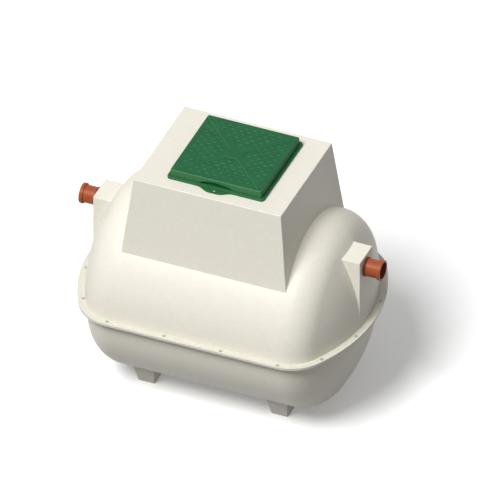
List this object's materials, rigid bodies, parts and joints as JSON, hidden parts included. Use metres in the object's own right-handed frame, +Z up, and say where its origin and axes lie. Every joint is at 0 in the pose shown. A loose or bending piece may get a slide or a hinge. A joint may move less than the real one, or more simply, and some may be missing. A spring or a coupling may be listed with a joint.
{
  "type": "packaged sewage treatment plant",
  "caption": "Horizontal glass-fibre treatment tank in two flanged mouldings, with a tapered access turret, a hinged lid, drain pipe sockets on its ends and moulded feet.",
  "frame": {"origin": "on the ground under the middle of the plant", "axes": "+X along the tank toward the outlet, +Y toward the lid's hinges at the back, +Z up"},
  "size_m": [2.068, 1.4, 1.7225],
  "materials": {
    "grp": "moulded gelcoat, satin",
    "lid": "green glass-fibre moulding",
    "pipe": "orange-brown drain pipe",
    "seal": "black rubber",
    "hinge": "stainless steel"
  },
  "bodies": {
    "plant": {"lower_front_shell": "grp", "lower_back_shell": "grp", "lower_inlet_shell": "grp", "lower_outlet_shell": "grp", "upper_front_shell": "grp", "upper_back_shell": "grp", "upper_inlet_shell": "grp", "upper_outlet_shell": "grp", "lower_front_flange": "grp", "lower_back_flange": "grp", "lower_inlet_flange": "grp", "lower_outlet_flange": "grp", "upper_front_flange": "grp", "upper_back_flange": "grp", "upper_inlet_flange": "grp", "upper_outlet_flange": "grp", "turret_front_wall": "grp", "turret_back_wall": "grp", "turret_inlet_wall": "grp", "turret_outlet_wall": "grp", "turret_deck": "grp", "access_upstand": "grp", "inlet_boss": "grp", "outlet_boss": "grp", "front_inlet_foot": "grp", "front_outlet_foot": "grp", "back_inlet_foot": "grp", "back_outlet_foot": "grp", "inlet_socket": "pipe", "outlet_socket": "pipe", "inlet_collar": "pipe", "outlet_collar": "pipe", "inlet_seal": "seal", "outlet_seal": "seal", "inlet_hinge_bracket": "hinge", "outlet_hinge_bracket": "hinge", "inlet_hinge_pin": "hinge", "outlet_hinge_pin": "hinge"},
    "lid": {"lid_cover": "lid", "lid_inlet_hinge": "hinge", "lid_outlet_hinge": "hinge"}
  },
  "joints": [
    {"name": "lid_hinge", "type": "hinge", "parent": "plant", "child": "lid", "pos_m": [0.014, 0.3525, 1.6728], "axis": [-1, 0, 0], "range_deg": [0, 100]}
  ]
}
